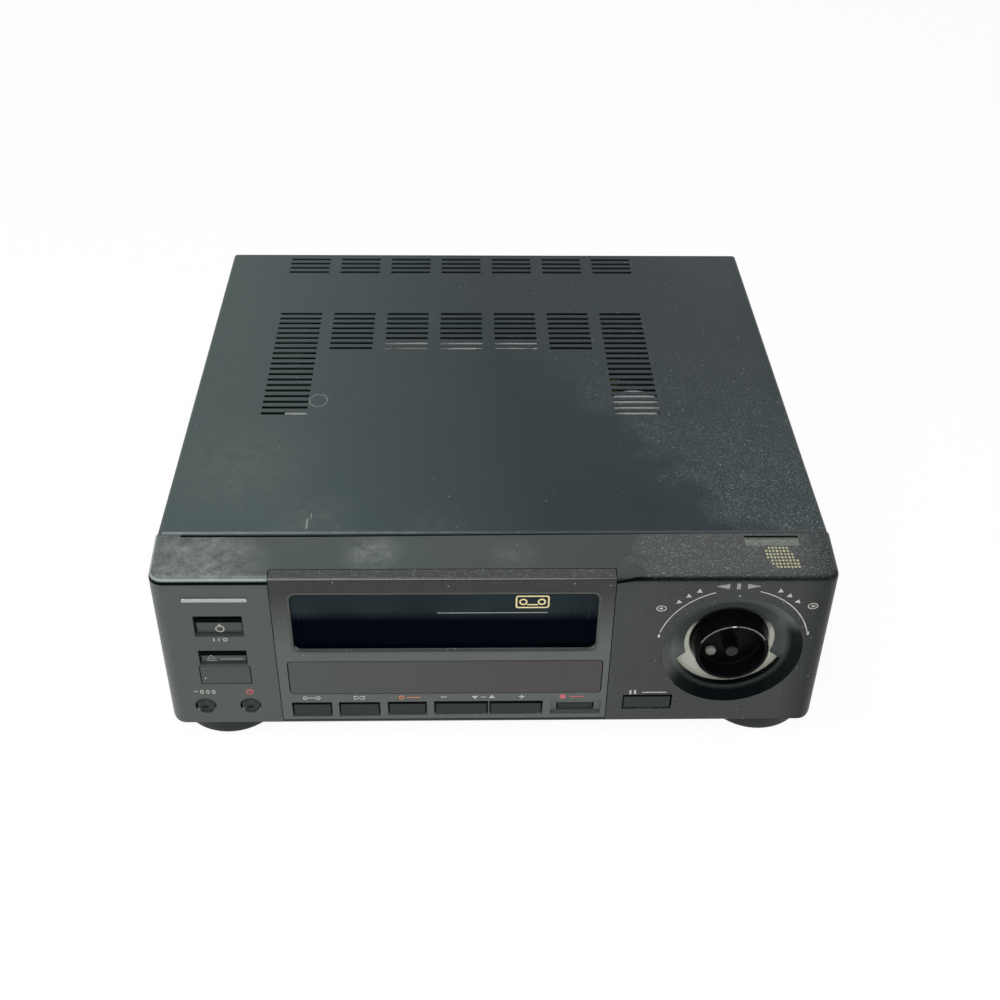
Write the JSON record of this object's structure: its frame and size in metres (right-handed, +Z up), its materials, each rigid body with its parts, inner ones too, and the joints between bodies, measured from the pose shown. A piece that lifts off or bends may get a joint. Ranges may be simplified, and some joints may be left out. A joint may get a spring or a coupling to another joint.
{
  "type": "video cassette recorder",
  "caption": "Compact front-loading video cassette recorder with vented steel cover, cassette flap, display, push buttons, dished jog and shuttle dial and a geared cassette deck inside.",
  "frame": {"origin": "centre of the footprint, on the plane the feet stand on", "axes": "+Z up, -Y the way the front panel faces, +X the right-hand side as one looks at the front"},
  "size_m": [0.225, 0.2278, 0.0728],
  "materials": {
    "cover": "dark grey satin paint on folded steel",
    "panel": "moulded charcoal plastic, fine texture",
    "fascia": "warm dark grey moulding, satin",
    "keys": "dark green-grey moulded keys, satin",
    "smoked": "smoked glossy plastic",
    "tinted": "tinted semi-gloss plastic",
    "tube": "dark display glass",
    "grey": "light grey moulded plastic",
    "black": "black plastic, semi-gloss",
    "rubber": "black rubber",
    "zinc": "zinc-plated pressed steel",
    "base": "galvanised sheet steel",
    "tinplate": "bright tinplate",
    "aluminium": "bright turned aluminium",
    "nylon": "off-white nylon",
    "laminate": "green-brown circuit board laminate",
    "core": "dark laminated iron core"
  },
  "bodies": {
    "case": {"top_cover": "cover", "front_panel": "panel", "fascia": "fascia", "display_window": "tinted", "sensor_window": "tinted", "display_tube": "tube", "encoder_housing": "black", "slot_guide": "black", "jack_block": "black", "ac_inlet": "black", "foot_front_left": "rubber", "foot_front_right": "rubber", "foot_rear_left": "rubber", "foot_rear_right": "rubber", "lift_plate_left": "zinc", "lift_plate_right": "zinc", "lift_motor": "zinc", "deck_plate": "zinc", "ring_motor": "zinc", "base_pan": "base", "rear_panel": "base", "mechanism_bridge": "tinplate", "head_amp_can": "tinplate", "tuner_can": "tinplate", "lower_drum": "aluminium", "filter_capacitor": "aluminium", "heat_sink": "aluminium", "front_board": "laminate", "shuttle_board": "laminate", "main_board": "laminate", "power_board": "laminate", "power_transformer": "core"},
    "cassette_flap": {"cassette_door": "smoked"},
    "jog": {"jog_hub": "black"},
    "shuttle": {"shuttle_ring": "grey"},
    "basket": {"cassette_basket": "zinc"},
    "lift_gear": {"lift_pinion": "nylon"},
    "supply": {"supply_reel": "nylon"},
    "takeup": {"takeup_reel": "nylon"},
    "idler_swing": {"idler_arm": "zinc"},
    "idler_roller": {"idler_wheel": "rubber"},
    "drum": {"upper_drum": "aluminium"},
    "capstan_shaft": {"capstan": "aluminium"},
    "pinch_swing": {"pinch_arm": "zinc"},
    "pinch_wheel": {"pinch_roller": "rubber"},
    "threading_ring": {"loading_ring": "nylon"},
    "ring_gear": {"ring_pinion": "nylon"},
    "rear_switch": {"output_switch": "black"},
    "power_button_key": {"power_button": "keys"},
    "eject_button_key": {"eject_button": "keys"},
    "counter_reset_button_key": {"counter_reset_button": "keys"},
    "quick_timer_button_key": {"quick_timer_button": "keys"},
    "synchro_edit_button_key": {"synchro_edit_button": "keys"},
    "edit_button_key": {"edit_button": "keys"},
    "timer_button_key": {"timer_button": "keys"},
    "channel_down_button_key": {"channel_down_button": "keys"},
    "channel_up_button_key": {"channel_up_button": "keys"},
    "record_button_key": {"record_button": "keys"},
    "pause_button_key": {"pause_button": "keys"}
  },
  "joints": [
    {"name": "power_press", "type": "slide", "parent": "case", "child": "power_button_key", "axis": [0, 1, 0], "range_m": [0, 0.0012], "stiffness_N_per_m": 150, "springref_m": -0.001},
    {"name": "eject_press", "type": "slide", "parent": "case", "child": "eject_button_key", "axis": [0, 1, 0], "range_m": [0, 0.0012], "stiffness_N_per_m": 150, "springref_m": -0.001},
    {"name": "counter_reset_press", "type": "slide", "parent": "case", "child": "counter_reset_button_key", "axis": [0, 1, 0], "range_m": [0, 0.0012], "stiffness_N_per_m": 150, "springref_m": -0.001},
    {"name": "quick_timer_press", "type": "slide", "parent": "case", "child": "quick_timer_button_key", "axis": [0, 1, 0], "range_m": [0, 0.0012], "stiffness_N_per_m": 150, "springref_m": -0.001},
    {"name": "synchro_edit_press", "type": "slide", "parent": "case", "child": "synchro_edit_button_key", "axis": [0, 1, 0], "range_m": [0, 0.0012], "stiffness_N_per_m": 150, "springref_m": -0.001},
    {"name": "edit_press", "type": "slide", "parent": "case", "child": "edit_button_key", "axis": [0, 1, 0], "range_m": [0, 0.0012], "stiffness_N_per_m": 150, "springref_m": -0.001},
    {"name": "timer_press", "type": "slide", "parent": "case", "child": "timer_button_key", "axis": [0, 1, 0], "range_m": [0, 0.0012], "stiffness_N_per_m": 150, "springref_m": -0.001},
    {"name": "channel_down_press", "type": "slide", "parent": "case", "child": "channel_down_button_key", "axis": [0, 1, 0], "range_m": [0, 0.0012], "stiffness_N_per_m": 150, "springref_m": -0.001},
    {"name": "channel_up_press", "type": "slide", "parent": "case", "child": "channel_up_button_key", "axis": [0, 1, 0], "range_m": [0, 0.0012], "stiffness_N_per_m": 150, "springref_m": -0.001},
    {"name": "record_press", "type": "slide", "parent": "case", "child": "record_button_key", "axis": [0, 1, 0], "range_m": [0, 0.0012], "stiffness_N_per_m": 150, "springref_m": -0.001},
    {"name": "pause_press", "type": "slide", "parent": "case", "child": "pause_button_key", "axis": [0, 1, 0], "range_m": [0, 0.0012], "stiffness_N_per_m": 150, "springref_m": -0.001},
    {"name": "flap_hinge", "type": "hinge", "parent": "case", "child": "cassette_flap", "pos_m": [-0.0166, -0.1109, 0.0661], "axis": [1, 0, 0], "range_deg": [0, 80], "stiffness_Nm_per_rad": 0.004, "springref_deg": -11.46},
    {"name": "jog_turn", "type": "hinge", "parent": "case", "child": "jog", "pos_m": [0.0795, -0.1075, 0.0398], "axis": [0, 1, 0], "continuous": true},
    {"name": "shuttle_turn", "type": "hinge", "parent": "case", "child": "shuttle", "pos_m": [0.0795, -0.1061, 0.0398], "axis": [0, 1, 0], "range_deg": [-70, 70], "stiffness_Nm_per_rad": 0.01},
    {"name": "basket_lift", "type": "slide", "parent": "case", "child": "basket", "axis": [0, 0, -1], "range_m": [0, 0.0177]},
    {"name": "lift_gear_turn", "type": "hinge", "parent": "case", "child": "lift_gear", "pos_m": [0.0344, -0.0411, 0.0455], "axis": [1, 0, 0], "range_deg": [-2, 132]},
    {"name": "supply_turn", "type": "hinge", "parent": "case", "child": "supply", "pos_m": [-0.0396, -0.0551, 0.0245], "axis": [0, 0, 1], "continuous": true},
    {"name": "takeup_turn", "type": "hinge", "parent": "case", "child": "takeup", "pos_m": [0.0064, -0.0551, 0.0245], "axis": [0, 0, 1], "continuous": true},
    {"name": "idler_arm_swing", "type": "hinge", "parent": "case", "child": "idler_swing", "pos_m": [-0.0166, -0.0331, 0.0248], "axis": [0, 0, 1], "range_deg": [-7, 7]},
    {"name": "idler_wheel_turn", "type": "hinge", "parent": "idler_swing", "child": "idler_roller", "pos_m": [-0.0166, -0.0551, 0.0263], "axis": [0, 0, 1], "continuous": true},
    {"name": "drum_spin", "type": "hinge", "parent": "case", "child": "drum", "pos_m": [-0.0166, 0.0029, 0.0245], "axis": [0, -0.0872, 0.9962], "continuous": true},
    {"name": "capstan_turn", "type": "hinge", "parent": "case", "child": "capstan_shaft", "pos_m": [0.0194, -0.0151, 0.0245], "axis": [0, 0, 1], "continuous": true},
    {"name": "pinch_arm_swing", "type": "hinge", "parent": "case", "child": "pinch_swing", "pos_m": [0.031, -0.0031, 0.0245], "axis": [0, 0, 1], "range_deg": [0, 25]},
    {"name": "pinch_roller_turn", "type": "hinge", "parent": "pinch_swing", "child": "pinch_wheel", "pos_m": [0.01986, -0.00427, 0.0288], "axis": [0, 0, 1], "continuous": true},
    {"name": "threading_turn", "type": "hinge", "parent": "case", "child": "threading_ring", "pos_m": [-0.0166, 0.0029, 0.0249], "axis": [0, 0, 1], "range_deg": [0, 150]},
    {"name": "ring_gear_turn", "type": "hinge", "parent": "case", "child": "ring_gear", "pos_m": [-0.0536, 0.0029, 0.0249], "axis": [0, 0, 1], "range_deg": [-815, 10]},
    {"name": "output_switch_slide", "type": "slide", "parent": "case", "child": "rear_switch", "axis": [1, 0, 0], "range_m": [0, 0.003]}
  ],
  "couplings": [
    {"joint": "lift_gear_turn", "follows": "basket_lift", "rad_per_m": 125},
    {"joint": "ring_gear_turn", "follows": "threading_turn", "ratio": -5.1667}
  ]
}
